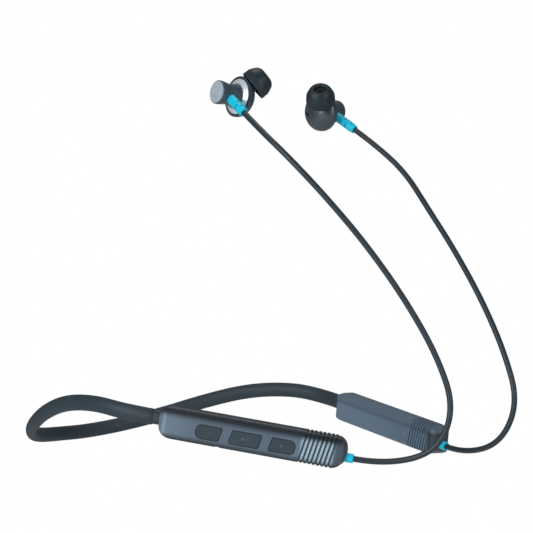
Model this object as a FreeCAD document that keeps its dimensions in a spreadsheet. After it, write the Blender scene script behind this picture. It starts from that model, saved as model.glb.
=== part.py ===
import FreeCAD
import Part
import math
import os
from types import SimpleNamespace

import Sketcher

Vector = FreeCAD.Vector

# Driving dimensions, in millimetres and degrees. Each becomes one named cell of the sheet.
DIMENSIONS = {
    # pods: the two long housings at the ends of the neckband
    "pod_length": 76.0,
    "pod_height": 13.3,
    "pod_thickness": 9.5,
    "pod_wall": 1.25,
    "pod_top_round": 3.9,
    "pod_foot_round": 2.2,
    "pod_end_round": 3.6,
    "band_end_corner": 6.4,
    "tip_end_corner": 6.2,
    "rib_width": 0.8,
    "rib_depth": 0.45,
    "rib_pitch": 1.7,
    "rib_setback": 17.1,
    # keys
    "key_foot_margin": 2.4,
    "key_top_margin": 5.2,
    "key_row_start": 15.7,
    "key_row_setback": 19.9,
    "key_space": 3.7,
    "side_key_share": 0.313,
    "key_slant": 1.3,
    "key_gap": 0.25,
    "key_corner": 0.8,
    "key_nose_share": 0.42,
    "key_proud": 0.15,
    "key_flange": 0.5,
    "key_travel": 0.3,
    "switch_slack": 0.05,
    # boards and what is soldered to them
    "board_thickness": 0.8,
    "board_start": 11.6,
    "board_clearance": 0.5,
    "switch_height": 1.2,
    "switch_width": 3.0,
    "port_width": 8.9,
    "port_depth": 6.5,
    "port_height": 2.9,
    "port_centre": 17.4,
    "flap_length": 12.4,
    "flap_width": 3.6,
    "flap_thickness": 1.1,
    "flap_gap": 0.15,
    # battery
    "cell_start": 12.0,
    "cell_clearance": 0.4,
    "cell_side_clearance": 0.7,
    "battery_board_length": 12.0,
    "board_setback": 12.0,
    "board_space": 2.0,
    # neckband
    "band_height": 6.6,
    "band_width": 4.8,
    "wire_bore_spread": 1.35,
    "wire_gap": 0.1,
    "core_wire_size": 1.0,
    "harness_size": 1.4,
    "collar_height": 5.6,
    "collar_width": 4.2,
    "collar_length": 2.4,
    "collar_raise": 0.6,
    "fit_gap": 0.05,
    # cables and their rings
    "cable_size": 2.4,
    "ring_size": 3.7,
    "ring_length": 2.8,
    "ring_neck": 3.0,
    "ring_drop": 1.7,
    # earbuds
    "cap_size": 9.8,
    "cap_thickness": 1.2,
    "barrel_length": 9.6,
    "waist_size": 8.6,
    "barrel_wall": 0.9,
    "trim_size": 14.6,
    "trim_length": 1.3,
    "bowl_size": 17.0,
    "bowl_wall": 1.0,
    "bowl_rim": 1.6,
    "dome_rise": 5.0,
    "driver_size": 11.0,
    "vent_width": 2.6,
    "vent_height": 0.9,
    "vent_side": 3.5,
    "vent_drop": 2.9,
    "nozzle_angle": 56.0,
    "nozzle_size": 4.6,
    "nozzle_bore": 3.2,
    "nozzle_reach": 12.6,
    "tip_start": 7.0,
    "tip_length": 7.6,
    "tip_size": 13.0,
    "tip_mouth": 5.0,
    "tip_skin": 0.8,
    "relief_size": 4.1,
    "relief_place": 5.2,
    "relief_reach": 15.8,
    # fasteners
    "screw_size": 1.4,
    "screw_head": 2.4,
    "screw_sink": 0.35,
    "screw_head_height": 0.7,
    "post_size": 2.6,
    "post_clearance": 0.45,
}

RIB_COUNT = 8
RIB_SLANT = 10.0

# Where the pods and earbuds lie. The origin is the inner face of the band behind the neck,
# +X is the wearer's front, +Y the wearer's left and +Z up. The right side mirrors Y.
POD_START = Vector(106.5, 71.1, 13.0)
POD_TIP = Vector(174.8, 40.1, 0.1)
RELIEF_END = Vector(129.5, 44.3, 136.3)
BARREL_DIRECTION = Vector(0.32, -0.94, -0.11)
RELIEF_DIRECTION = Vector(0.76, 0.32, -0.56)
BUD_YAW = {"right": 0.0, "left": -26.0}

# Corner points of the band behind each pod, for the wearer's left, and the middle of the neck.
BAND_SIDE = [
    (77.0, 75.6, 19.2), (57.0, 69.2, 18.6), (38.5, 60.2, 13.8), (22.0, 48.2, 7.6),
    (8.5, 34.0, 2.9), (-0.6, 17.0, 0.2),
]
BAND_MIDDLE = (-3.0, 0.0, -0.1)
BAND_LEAD = 12.0

# Corner points of the two cables between the pod's ring and the earbud's strain relief.
CABLE_SIDE = {
    "right": [
        (208.0, -28.0, 1.0), (215.0, -26.5, 18.0), (208.5, -28.0, 38.0), (197.0, -32.5, 60.0),
        (182.5, -38.0, 82.0), (168.0, -45.5, 101.5), (154.0, -51.0, 117.5),
    ],
    "left": [
        (208.0, 28.0, 1.0), (217.0, 26.0, 18.0), (210.5, 27.5, 38.0), (198.0, 32.0, 60.0),
        (182.5, 36.5, 82.0), (168.0, 40.5, 100.0), (155.5, 43.5, 116.0),
    ],
}
CABLE_LEAD = 13.0
RELIEF_LEAD = 14.0


class Size:
    """A number that also carries the sheet expression it was worked out from."""

    def __init__(self, number, text):
        self.number = number
        self.text = text

    @staticmethod
    def of(value):
        return value if isinstance(value, Size) else Size(float(value), f"{value}")

    def __add__(self, other):
        other = Size.of(other)
        return Size(self.number + other.number, f"({self.text} + {other.text})")

    def __radd__(self, other):
        return Size.of(other) + self

    def __sub__(self, other):
        other = Size.of(other)
        return Size(self.number - other.number, f"({self.text} - {other.text})")

    def __rsub__(self, other):
        return Size.of(other) - self

    def __mul__(self, other):
        other = Size.of(other)
        return Size(self.number * other.number, f"({self.text} * {other.text})")

    __rmul__ = __mul__

    def __truediv__(self, other):
        other = Size.of(other)
        return Size(self.number / other.number, f"({self.text} / {other.text})")

    def __neg__(self):
        return Size(-self.number, f"(0 - {self.text})")

    def root(self):
        return Size(math.sqrt(self.number), f"sqrt({self.text})")


doc = FreeCAD.newDocument("NeckbandEarphones")
sheet = doc.addObject("Spreadsheet::Sheet", "Sizes")
for row, (name, value) in enumerate(DIMENSIONS.items(), start=1):
    sheet.set(f"A{row}", name)
    sheet.set(f"B{row}", str(value))
    sheet.setAlias(f"B{row}", name)
doc.recompute()
d = SimpleNamespace(**{name: Size(value, f"Sizes.{name}") for name, value in DIMENSIONS.items()})


# ---- drawing helpers -------------------------------------------------------------------------

def bind(feature, prop, size):
    """Tie one property of a feature to the sheet."""
    feature.setExpression(prop, Size.of(size).text)


def origin_plane(body, role):
    return next(item for item in body.Origin.OriginFeatures if item.Role == role)


def new_sketch(body, role, offset=0.0):
    """A sketch on one of the body's own origin planes, lifted along the plane's normal."""
    sketch = body.newObject("Sketcher::SketchObject", f"{body.Name}_sketch")
    sketch.AttachmentSupport = [(origin_plane(body, role), "")]
    sketch.MapMode = "FlatFace"
    if Size.of(offset).number:
        bind(sketch, "AttachmentOffset.Base.z", offset)
    return sketch


def place_point(sketch, geometry, which, u, v):
    """Fix one point of a sketch at bound distances from the sketch's origin."""
    for kind, value in (("DistanceX", Size.of(u)), ("DistanceY", Size.of(v))):
        index = sketch.addConstraint(
            Sketcher.Constraint(kind, -1, 1, geometry, which, value.number))
        sketch.setExpression(f"Constraints[{index}]", value.text)


def draw_circle(sketch, u, v, diameter):
    radius = Size.of(diameter) / 2
    centre = Vector(Size.of(u).number, Size.of(v).number, 0)
    index = sketch.addGeometry(Part.Circle(centre, Vector(0, 0, 1), radius.number))
    place_point(sketch, index, 3, u, v)
    bound = sketch.addConstraint(Sketcher.Constraint("Radius", index, radius.number))
    sketch.setExpression(f"Constraints[{bound}]", radius.text)


def direction(start, end):
    """The unit vector from one bound spot to another, kept simple along the sketch's axes."""
    run = Size.of(end[0]) - start[0]
    rise = Size.of(end[1]) - start[1]
    if abs(rise.number) < 1e-9:
        return math.copysign(1.0, run.number), 0.0
    if abs(run.number) < 1e-9:
        return 0.0, math.copysign(1.0, rise.number)
    length = (run * run + rise * rise).root()
    return run / length, rise / length


def round_off(before, corner, after, radius):
    """Where a rounded corner leaves its two sides, and the middle of its arc."""
    back = direction(corner, before)
    ahead = direction(corner, after)
    cosine = Size.of(back[0]) * ahead[0] + Size.of(back[1]) * ahead[1]
    reach = radius
    if abs(cosine.number) > 1e-9:
        reach = radius * ((1 + cosine) / (1 - cosine)).root()
    first, last = ((corner[0] + reach * way[0], corner[1] + reach * way[1])
                   for way in (back, ahead))
    spot, start, end = (Vector(Size.of(u).number, Size.of(v).number, 0)
                        for u, v in (corner[:2], first, last))
    middle = ((start + end) / 2 - spot).normalize()
    to_centre = math.hypot(reach.number, radius.number)
    return first, spot + middle * (to_centre - radius.number), last


def draw_loop(sketch, corners):
    """A closed outline of straight sides. A corner is (u, v) or, when rounded, (u, v, radius)."""
    turns = []
    for i, corner in enumerate(corners):
        if len(corner) == 2:
            turns.append((corner, None, corner))
            continue
        before, after = corners[i - 1], corners[(i + 1) % len(corners)]
        turns.append(round_off(before, corner, after, Size.of(corner[2])))
    sides = []
    for i, (first, middle, last) in enumerate(turns):
        start, end = last, turns[(i + 1) % len(turns)][0]
        spots = [Vector(Size.of(u).number, Size.of(v).number, 0) for u, v in (start, end)]
        sides.append(sketch.addGeometry(Part.LineSegment(*spots)))
        place_point(sketch, sides[-1], 1, *start)
        place_point(sketch, sides[-1], 2, *end)
    for i, (first, middle, last) in enumerate(turns):
        before, after = sides[i - 1], sides[i]
        if middle is None:
            continue
        ends = [Vector(Size.of(u).number, Size.of(v).number, 0) for u, v in (first, last)]
        arc = sketch.addGeometry(Part.Arc(ends[0], middle, ends[1]))
        from_behind = (sketch.getPoint(arc, 1) - ends[0]).Length < 1e-6
        joins = ((before, 2, 1), (after, 1, 2)) if from_behind else ((before, 2, 2), (after, 1, 1))
        for side, end, arc_end in joins:
            sketch.addConstraint(Sketcher.Constraint("Coincident", side, end, arc, arc_end))
        radius = Size.of(corners[i][2])
        bound = sketch.addConstraint(Sketcher.Constraint("Radius", arc, radius.number))
        sketch.setExpression(f"Constraints[{bound}]", radius.text)


def rectangle(u0, u1, v0, v1, radius=None):
    corners = [(u0, v0), (u1, v0), (u1, v1), (u0, v1)]
    return [(u, v, radius) for u, v in corners] if radius is not None else corners


def new_body(label):
    body = doc.addObject("PartDesign::Body", label)
    body.Label = label
    return body


def pad(body, role, corners, length, offset=0.0):
    """Raise an outline from a plane along the plane's normal."""
    sketch = new_sketch(body, role, offset)
    draw_loop(sketch, corners)
    feature = body.newObject("PartDesign::Pad", f"{body.Name}_pad")
    feature.Profile = sketch
    bind(feature, "Length", length)
    return feature


def pocket(body, role, loops, depth=None, offset=0.0, circles=()):
    """Cut outlines both ways from a plane: right through, or to a depth on each side."""
    sketch = new_sketch(body, role, offset)
    for corners in loops:
        draw_loop(sketch, corners)
    for u, v, diameter in circles:
        draw_circle(sketch, u, v, diameter)
    feature = body.newObject("PartDesign::Pocket", f"{body.Name}_pocket")
    feature.Profile = sketch
    if depth is None:
        feature.Type = "ThroughAll"
    else:
        bind(feature, "Length", 2 * Size.of(depth))
    feature.Midplane = True
    return feature


def turn(label, corners, cut=False, body=None):
    """Turn an outline of (distance along X, radius) once round the X axis."""
    body = body or new_body(label)
    sketch = new_sketch(body, "XY_Plane")
    draw_loop(sketch, corners)
    kind = "PartDesign::Groove" if cut else "PartDesign::Revolution"
    feature = body.newObject(kind, f"{body.Name}_turned")
    feature.Profile = sketch
    feature.ReferenceAxis = (sketch, ["H_Axis"])
    feature.Angle = 360.0
    return body


def cut_away(label, base, tool, placement):
    """The base less the tool, as one named piece."""
    piece = doc.addObject("Part::Cut", label)
    piece.Label = label
    piece.Base = base
    piece.Tool = tool
    piece.Placement = placement
    return piece


def join(name, members):
    union = doc.addObject("Part::MultiFuse", name)
    union.Shapes = members
    return union


def rod(name, diameter, length, spot, rotation=None):
    """A plain round tool or pin, starting at a spot and running along X unless turned."""
    cylinder = doc.addObject("Part::Cylinder", name)
    bind(cylinder, "Radius", Size.of(diameter) / 2)
    bind(cylinder, "Height", length)
    along_x = FreeCAD.Rotation(Vector(0, 1, 0), 90)
    cylinder.Placement = FreeCAD.Placement(spot, (rotation or FreeCAD.Rotation()) * along_x)
    return cylinder


def frame_of(spot, forward, upward):
    """A placement at a spot whose X runs forward and whose Z is as near upward as it can be."""
    side = upward.cross(forward)
    up = forward.cross(side)
    return FreeCAD.Placement(spot, FreeCAD.Rotation(forward, side, up, "XZY"))


def mirrored(vector, side):
    return Vector(vector.x, vector.y * (1 if side == "left" else -1), vector.z)


def pod_frame(side):
    start = mirrored(POD_START, side)
    return frame_of(start, mirrored(POD_TIP, side) - start, Vector(0, 0, 1))


def bud_frame(side):
    """The earbud's own frame: X along the barrel to the ear, Z to the side its nozzle leans."""
    barrel = mirrored(BARREL_DIRECTION, side).normalize()
    relief = mirrored(RELIEF_DIRECTION, side)
    relief = (relief - barrel * relief.dot(barrel)).normalize()
    lean = barrel.cross(relief) if side == "left" else relief.cross(barrel)
    yaw = FreeCAD.Rotation(Vector(0, 0, 1), BUD_YAW[side])
    barrel, relief, lean = (yaw.multVec(v) for v in (barrel, relief, lean))
    spot = mirrored(RELIEF_END, side) - relief * d.relief_reach.number
    spot = spot - barrel * d.relief_place.number
    return frame_of(spot, barrel, lean)


def relief_sign(side):
    """The strain relief leaves the barrel toward -Y of the right bud and +Y of the left one."""
    return 1 if side == "left" else -1


pieces = {}


def keep(label, piece, frame=None):
    """Remember a finished piece under the name of its file, in its place in the assembly."""
    piece.Label = label
    if frame is not None:
        piece.Placement = frame
    pieces[label] = piece
    return piece


# ---- pod shells ------------------------------------------------------------------------------
# In a pod's own frame X runs from the band to the tip, Z is up and the two shells meet at Y = 0.
# The near shell lies on -Y and the far shell on +Y.

half_height = d.pod_height / 2
half_thickness = d.pod_thickness / 2


def half_section(sign, inset=0.0):
    """One shell's cross-section, with a generous top corner and a tighter foot corner."""
    flank = (half_thickness - inset) * sign
    return [
        (0, -(half_height - inset)),
        (flank, -(half_height - inset), d.pod_foot_round - inset),
        (flank, half_height - inset, d.pod_top_round - inset),
        (0, half_height - inset),
    ]


def end_offcuts():
    """The waste outside the rounded ends of the pod, seen square on to its face."""
    reach = 2.0
    loops = []
    for corner, x_end, inward in ((d.band_end_corner, Size.of(0), 1),
                                  (d.tip_end_corner, d.pod_length, -1)):
        beyond = x_end - reach * inward
        shoulder = x_end + (corner + 0.5) * inward
        loops.append([
            (beyond, -half_height - reach), (shoulder, -half_height - reach),
            (shoulder, -half_height), (x_end, -half_height, corner),
            (x_end, half_height, corner), (shoulder, half_height),
            (shoulder, half_height + reach), (beyond, half_height + reach),
        ])
    return loops


def plan_offcuts(sign):
    """The waste outside the rounded ends of the pod, seen from above."""
    reach = 2.0
    flank = half_thickness * sign
    side_reach = reach * sign
    loops = []
    for x_end, inward in ((Size.of(0), 1), (d.pod_length, -1)):
        beyond = x_end - reach * inward
        shoulder = x_end + (d.pod_end_round + 0.5) * inward
        loops.append([
            (beyond, 0), (x_end, 0), (x_end, flank, d.pod_end_round), (shoulder, flank),
            (shoulder, flank + side_reach), (beyond, flank + side_reach),
        ])
    return loops


def rib_cutter(name, sign):
    """Slanted shallow grooves that wrap round the grip end of a shell, leaving ribs between."""
    skin = pad_block(f"{name}_skin", half_section_outer(sign))
    heart = pad_block(f"{name}_heart", half_section(sign, d.rib_depth))
    ring = doc.addObject("Part::Cut", f"{name}_ring")
    ring.Base = skin
    ring.Tool = heart
    slabs = []
    lean = FreeCAD.Rotation(Vector(0, 1, 0), RIB_SLANT)
    for index in range(RIB_COUNT):
        slab = doc.addObject("Part::Box", f"{name}_slab")
        bind(slab, "Length", d.rib_width)
        bind(slab, "Width", d.pod_thickness * 2)
        bind(slab, "Height", d.pod_height * 2)
        first = d.pod_length.number - d.rib_setback.number
        middle = Vector(first + index * d.rib_pitch.number, 0, 0)
        corner = Vector(-d.rib_width.number / 2, -d.pod_thickness.number, -d.pod_height.number)
        slab.Placement = FreeCAD.Placement(middle + lean.multVec(corner), lean)
        slabs.append(slab)
    grooves = doc.addObject("Part::MultiCommon", f"{name}_grooves")
    grooves.Shapes = [ring, join(f"{name}_slabs", slabs)]
    return grooves


def half_section_outer(sign):
    """A plain half-section that stands clear outside the shell."""
    return [(0, -half_height - 1), ((half_thickness + 1) * sign, -half_height - 1),
            ((half_thickness + 1) * sign, half_height + 1), (0, half_height + 1)]


def pad_block(label, corners):
    body = new_body(label)
    pad(body, "YZ_Plane", corners, d.pod_length)
    return body


inside = half_height - d.pod_wall
shoulder = inside - 1.2
cavity_start = d.pod_wall + 0.9
cavity_end = d.pod_length - d.pod_wall - 1.2
flange_start = cavity_start + 0.1
flange_length = Size.of(3.6)


def flange_outline(grow=0.0):
    """The anchor's flange seen along the pod, inside the shells."""
    wide = d.collar_width / 2 + 0.7 + grow
    tall = d.collar_height / 2 + 0.7 + grow
    return rectangle(-wide, wide, d.collar_raise - tall, d.collar_raise + tall, 1.0 + grow)


def shell(label, side, sign, extra):
    """One hollow half of a pod, with the seats of its anchor, ring and screws, and the ribs."""
    body = new_body(f"{label}_body")
    pad(body, "YZ_Plane", half_section(sign), d.pod_length)
    pocket(body, "XZ_Plane", end_offcuts())
    pocket(body, "XY_Plane", plan_offcuts(sign))
    cavity_corner = d.band_end_corner - d.pod_wall
    main = [(cavity_start, -inside, cavity_corner), (cavity_end, -inside, cavity_corner),
            (cavity_end, shoulder, 2.0), (cavity_start, shoulder, 2.0)]
    pocket(body, "XZ_Plane", [main], half_thickness - d.pod_wall)
    strip = rectangle(cavity_start + 3.6, cavity_end - 3.8, shoulder - 0.4, inside)
    pocket(body, "XZ_Plane", [strip], half_thickness - d.pod_wall - 1.5)
    collar = rectangle(-(d.collar_width / 2 + d.fit_gap), d.collar_width / 2 + d.fit_gap,
                       d.collar_raise - d.collar_height / 2 - d.fit_gap,
                       d.collar_raise + d.collar_height / 2 + d.fit_gap,
                       d.collar_width / 2 - 0.2)
    pocket(body, "YZ_Plane", [collar], 4.0)
    pocket(body, "YZ_Plane", [flange_outline(d.fit_gap)], flange_length / 2 + d.fit_gap,
           offset=flange_start + flange_length / 2)
    neck_hole = (0, -d.ring_drop, d.ring_neck + 2 * d.fit_gap)
    pocket(body, "YZ_Plane", [], 4.0, offset=d.pod_length, circles=[neck_hole])
    ring_seat = (0, -d.ring_drop, d.ring_size + 2 * d.fit_gap)
    pocket(body, "YZ_Plane", [], ring_sink, offset=d.pod_length, circles=[ring_seat])
    ring_pocket = (0, -d.ring_drop, d.ring_neck + 2 * (ring_flange + d.fit_gap))
    pocket(body, "YZ_Plane", [], ring_flange_length / 2 + d.fit_gap,
           offset=cavity_end - ring_flange_length / 2, circles=[ring_pocket])
    foot_notch(body)
    screw_post(body, sign)
    extra(body, sign)
    return keep(label, cut_away(label, body, rib_cutter(label, sign), pod_frame(side)))


ring_sink = Size.of(0.5)
ring_flange = Size.of(0.9)
ring_flange_length = Size.of(1.2)
row_low = d.key_foot_margin - half_height
row_high = half_height - d.key_top_margin
row_middle = (row_low + row_high) / 2


def key_outline(start, end, grow=0.0, nose=None):
    """A key seen square on. A key with a nose is round at that end; its other ends slant."""
    low = row_low - grow
    high = row_high + grow
    left = start - grow
    right = end + grow
    corner = d.key_corner + grow
    round_nose = (row_high - row_low) * d.key_nose_share + grow
    lean = d.key_slant / 2
    if nose == "start":
        return [(left, low, round_nose), (right - lean, low, corner),
                (right + lean, high, corner), (left, high, round_nose)]
    if nose == "end":
        return [(left - lean, low, corner), (right, low, round_nose),
                (right, high, round_nose), (left + lean, high, corner)]
    return [(left - lean, low, corner), (right - lean, low, corner),
            (right + lean, high, corner), (left + lean, high, corner)]


row_end = d.pod_length - d.key_row_setback
keys_in_all = row_end - d.key_row_start - 2 * d.key_space
side_key = keys_in_all * d.side_key_share
KEYS = {
    "volume_down_key": (d.key_row_start, d.key_row_start + side_key, "start"),
    "play_key": (d.key_row_start + side_key + d.key_space, row_end - side_key - d.key_space, None),
    "volume_up_key": (row_end - side_key, row_end, "end"),
}


def key_windows(body, sign):
    loops = [key_outline(start, end, 0.0, nose) for start, end, nose in KEYS.values()]
    pocket(body, "XZ_Plane", loops)


flap_start = d.port_centre - d.flap_length / 2
flap_end = d.port_centre + d.flap_length / 2
flap_middle = 0.4 + d.port_height / 2


def foot_notch(body):
    """A thumb notch in the foot of the pod, at the free end of the port's flap."""
    notch = [(flap_end + 0.4, -half_height - 1), (flap_end + 2.4, -half_height - 1),
             (flap_end + 2.4, -half_height + 0.35, 0.3), (flap_end + 0.4, -half_height + 0.35, 0.3)]
    pocket(body, "XZ_Plane", [notch], half_thickness - 1.0)


def port_opening(body, sign):
    """The flap's seat in the foot of the far shell, and the way through to the port."""
    low = -half_height
    seat = rectangle(flap_start - 0.5 * d.flap_thickness - d.flap_gap, flap_end + d.flap_gap,
                     flap_middle - d.flap_width / 2 - d.flap_gap,
                     flap_middle + d.flap_width / 2 + d.flap_gap)
    pocket(body, "XY_Plane", [seat], d.flap_thickness + d.flap_gap, offset=low)
    way = rectangle(d.port_centre - d.port_width / 2 - d.flap_gap,
                    d.port_centre + d.port_width / 2 + d.flap_gap,
                    flap_middle - d.port_height / 2 - 0.05, flap_middle + d.port_height / 2 + 0.05)
    pocket(body, "XY_Plane", [way], d.flap_thickness + d.flap_gap + 1.5, offset=low)
    screw_holes(body, sign)


# The two screws: one behind the band's anchor, one above the key row and short of the ribs.
SCREW_SPOTS = ((Size.of(9.9), Size.of(0.0)), (d.pod_length - 19.0, row_high + 1.75))


def screw_post(body, sign):
    """Square posts inside a shell, whose ends nearly meet the other shell's."""
    reach = half_thickness - d.pod_wall / 2 - d.post_clearance
    start = d.post_clearance if sign < 0 else -d.post_clearance - reach
    for x, z in SCREW_SPOTS:
        half = d.post_size / 2
        outline = rectangle(x - half, x + half, z - half, z + half, 0.6)
        pad(body, "XZ_Plane", outline, reach, offset=start)


def screw_threads(body):
    """Blind holes in the near shell's posts, which the screws bite in."""
    threads = [(x, z, d.screw_size) for x, z in SCREW_SPOTS]
    pocket(body, "XZ_Plane", [], half_thickness - 1.9, circles=threads)


def screw_holes(body, sign):
    """Clearance holes through the far shell's posts, with recesses for the heads."""
    holes = [(x, z, d.screw_size + 4 * d.fit_gap) for x, z in SCREW_SPOTS]
    pocket(body, "XZ_Plane", [], circles=holes)
    heads = [(x, z, d.screw_head + 4 * d.fit_gap) for x, z in SCREW_SPOTS]
    pocket(body, "XZ_Plane", [], d.screw_sink + d.screw_head_height + d.fit_gap,
           offset=-half_thickness * sign, circles=heads)


# ---- pod contents ----------------------------------------------------------------------------

def key(label, start, end, nose):
    """A key cap with a flange behind the shell and a nub over its switch."""
    body = new_body(label)
    back = half_thickness - d.pod_wall - 0.05
    face = half_thickness + d.key_proud
    pad(body, "XZ_Plane", key_outline(start, end, -d.key_gap, nose), face - back, offset=back)
    flange = back - d.key_flange
    pad(body, "XZ_Plane", key_outline(start, end, 0.3, nose), d.key_flange, offset=flange)
    middle = (start + end) / 2
    nub_root = flange - switch_top - d.key_travel - d.switch_slack
    nub = rectangle(middle - 0.8, middle + 0.8, row_middle - 0.8, row_middle + 0.8)
    pad(body, "XZ_Plane", nub, nub_root, offset=flange - nub_root)
    return keep(label, body, pod_frame("right"))


board_near = d.board_thickness / 2
switch_top = board_near + d.switch_height


def board(label, side, start, end):
    """A circuit board between the shells' posts, notched round the screw that passes it."""
    body = new_body(label)
    outline = rectangle(start, end, d.board_clearance - inside, shoulder - d.board_clearance, 1.0)
    pad(body, "XZ_Plane", outline, d.board_thickness, offset=-board_near)
    x, z = SCREW_SPOTS[1]
    pocket(body, "XZ_Plane", [], circles=[(x, z, d.screw_size + 6 * d.fit_gap)])
    return keep(label, body, pod_frame(side))


def block(name, x0, x1, z0, z1, near, length, radius=None):
    """A plain block of the pod, starting at a depth and running toward the near shell."""
    body = new_body(name)
    pad(body, "XZ_Plane", rectangle(x0, x1, z0, z1, radius), length, offset=near)
    return body


def group(label, members, frame):
    compound = doc.addObject("Part::Compound", label)
    compound.Links = members
    return keep(label, compound, frame)


def key_switches():
    members = []
    for name, (start, end, nose) in KEYS.items():
        middle = (start + end) / 2
        half = d.switch_width / 2
        body = block(f"{name}_switch", middle - half, middle + half, row_middle - half,
                     row_middle + half, board_near, d.switch_height - 0.3, 0.4)
        sketch = new_sketch(body, "XZ_Plane", board_near)
        draw_circle(sketch, middle, row_middle, d.switch_width * 0.5)
        plunger = body.newObject("PartDesign::Pad", f"{name}_plunger")
        plunger.Profile = sketch
        bind(plunger, "Length", d.switch_height)
        members.append(body)
    group("key_switches", members, pod_frame("right"))


def board_chips():
    """The radio chip, the sound chip, the crystal and the aerial on the far side of the board."""
    spots = (("radio_chip", 31.0, 5.0, -0.8, 5.0, 0.9), ("sound_chip", 41.5, 4.0, -0.8, 4.0, 0.8),
             ("crystal", 36.7, 2.0, -0.8, 1.6, 0.6), ("aerial", 46.5, 2.0, -0.8, 5.0, 1.0))
    members = []
    for name, x, wide, z, tall, thick in spots:
        members.append(block(name, x - wide / 2, x + wide / 2, z - tall / 2, z + tall / 2,
                             -board_near - thick, thick))
    group("board_chips", members, pod_frame("right"))


def usb_port():
    """A socket of folded steel with its tongue, opening down through the foot of the pod."""
    body = new_body("usb_port")
    x0 = d.port_centre - d.port_width / 2
    x1 = d.port_centre + d.port_width / 2
    mouth = -half_height + d.flap_thickness + 2 * d.flap_gap
    round_end = d.port_height / 2 - 0.1
    outline = rectangle(x0, x1, board_near, board_near + d.port_height, round_end)
    pad(body, "XY_Plane", outline, d.port_depth, offset=mouth)
    wall = 0.3
    hollow = rectangle(x0 + wall, x1 - wall, board_near + wall, board_near + d.port_height - wall,
                       round_end - wall)
    pocket(body, "XY_Plane", [hollow], d.port_depth - 1.2, offset=mouth)
    tongue = rectangle(d.port_centre - 3.2, d.port_centre + 3.2, flap_middle - 0.35,
                       flap_middle + 0.35)
    pad(body, "XY_Plane", tongue, d.port_depth - 1.0, offset=mouth + 1.0)
    return keep("usb_port", body, pod_frame("right"))


def usb_flap():
    """The soft cover of the port: a plate on a rolled hinge end, with a plug that fills the way."""
    body = new_body("usb_flap")
    low = -half_height
    middle = low + d.flap_thickness / 2
    side_view = [(flap_start, low, d.flap_thickness / 2 - 0.05), (flap_end, low, 0.25),
                 (flap_end, low + d.flap_thickness),
                 (flap_start, low + d.flap_thickness, d.flap_thickness / 2 - 0.05)]
    pad(body, "XZ_Plane", side_view, d.flap_width, offset=-flap_middle - d.flap_width / 2)
    lip = rectangle(flap_end - 4.0, flap_end - 2.0, flap_middle - 0.8, flap_middle + 0.8, 0.4)
    pad(body, "XY_Plane", lip, 0.7, offset=middle)
    return keep("usb_flap", body, pod_frame("right"))


def band_anchor(label, side):
    """The moulded plug that grips the band's end: a collar outside, a flanged block inside."""
    body = new_body(label)
    wide, tall, up = d.collar_width, d.collar_height, d.collar_raise
    collar = rectangle(-wide / 2, wide / 2, up - tall / 2, up + tall / 2, wide / 2 - 0.25)
    pad(body, "YZ_Plane", collar, d.collar_length + 4.5, offset=-d.collar_length)
    pad(body, "YZ_Plane", flange_outline(), flange_length, offset=flange_start)
    for raise_by, size in ((d.wire_bore_spread, d.core_wire_size),
                           (-d.wire_bore_spread, d.harness_size)):
        bore = (0, up + raise_by * slope_cosine, size + 2 * d.wire_gap)
        pocket(body, "YZ_Plane", [], circles=[bore])
    return keep(label, body, pod_frame(side))


slope_cosine = math.cos(math.asin((POD_START.z - POD_TIP.z) / (POD_TIP - POD_START).Length))


def cable_ring(label, side):
    """The bright ring where the cable leaves the pod, held by a flange behind the shell."""
    seat = d.pod_length - ring_sink + d.fit_gap
    neck = d.ring_neck / 2
    flange = cavity_end - d.fit_gap
    body = turn(label, [
        (cavity_end - ring_flange_length, 0), (cavity_end - ring_flange_length, neck + ring_flange),
        (flange, neck + ring_flange), (flange, neck), (seat, neck), (seat, d.ring_size / 2),
        (d.pod_length + d.ring_length, d.ring_size / 2, 0.4), (d.pod_length + d.ring_length, 0)])
    frame = pod_frame(side)
    drop = FreeCAD.Placement(Vector(0, 0, -d.ring_drop.number), FreeCAD.Rotation())
    return keep(label, body, frame * drop)


def screws(label, side):
    """Two small screws that come in through the far shell and bite in the near shell."""
    members = []
    inward = FreeCAD.Rotation(Vector(0, 0, 1), -90)
    under_head = d.screw_sink + d.screw_head_height
    end = d.pod_thickness - 2.4
    for index, (x, z) in enumerate(SCREW_SPOTS):
        body = turn(f"{label}_{index}", [
            (d.screw_sink, 0), (d.screw_sink, d.screw_head / 2), (under_head, d.screw_head / 2),
            (under_head, d.screw_size / 2), (end, d.screw_size / 2), (end, 0)])
        spot = Vector(x.number, half_thickness.number, z.number)
        body.Placement = FreeCAD.Placement(spot, inward)
        members.append(body)
    group(label, members, pod_frame(side))


battery_board_start = d.pod_length - d.board_setback - d.battery_board_length


def battery_cell():
    """A pouch cell between the shells, with rounded long edges."""
    body = new_body("battery_cell")
    y = half_thickness - d.pod_wall - d.cell_side_clearance
    outline = rectangle(-y, y, d.cell_clearance - inside, shoulder - d.cell_clearance, 1.2)
    length = battery_board_start - d.board_space - d.cell_start
    pad(body, "YZ_Plane", outline, length, offset=d.cell_start)
    return keep("battery_cell", body, pod_frame("left"))


def microphone(slot):
    """The capsule that listens through the small slot near the battery pod's tip."""
    start, end, low, high = slot
    length = Size.of(1.6)
    near = half_thickness - d.pod_wall - length - d.fit_gap
    capsule = block("microphone", start - 0.5, end + 0.5, low - 1.9, high + 0.1, near, length, 0.4)
    return keep("microphone", capsule, pod_frame("left"))


# ---- neckband and cables ---------------------------------------------------------------------

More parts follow.
